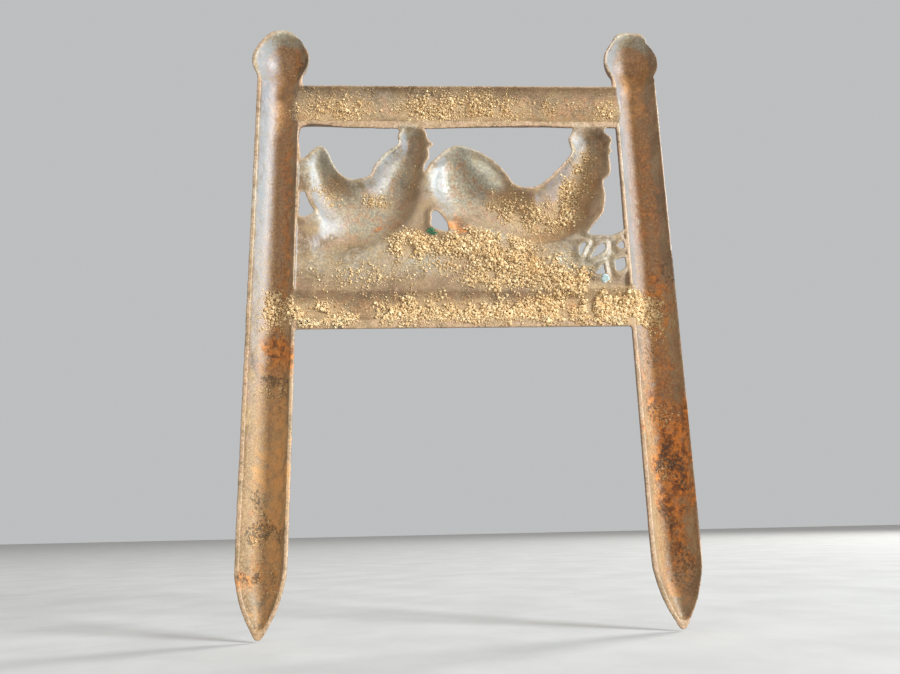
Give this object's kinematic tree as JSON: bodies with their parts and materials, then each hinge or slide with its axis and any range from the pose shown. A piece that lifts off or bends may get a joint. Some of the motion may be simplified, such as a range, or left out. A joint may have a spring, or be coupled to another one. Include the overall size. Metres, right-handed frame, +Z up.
{
  "type": "garden border panel",
  "caption": "Thin cast-iron border edging panel with two spiked posts, ball finials, two rails and a relief of two hens on a grassy mound.",
  "frame": {"origin": "under the middle of the panel, level with the spike tips, half way through its depth", "axes": "+Z up along the posts, +X across the panel, +Y out of its open back (the relief faces -Y)"},
  "size_m": [0.217, 0.0152, 0.305],
  "materials": {
    "rusty_iron": "matte",
    "old_paint": "matte",
    "dry_soil": "matte"
  },
  "bodies": {
    "root": {"left_post": "rusty_iron", "right_post": "rusty_iron", "left_spike": "rusty_iron", "right_spike": "rusty_iron", "left_finial": "rusty_iron", "right_finial": "rusty_iron", "top_rail": "rusty_iron", "bottom_rail": "rusty_iron", "left_hen": "rusty_iron", "right_hen": "rusty_iron", "grass_mound": "rusty_iron", "grass_tuft": "rusty_iron"}
  },
  "joints": []
}
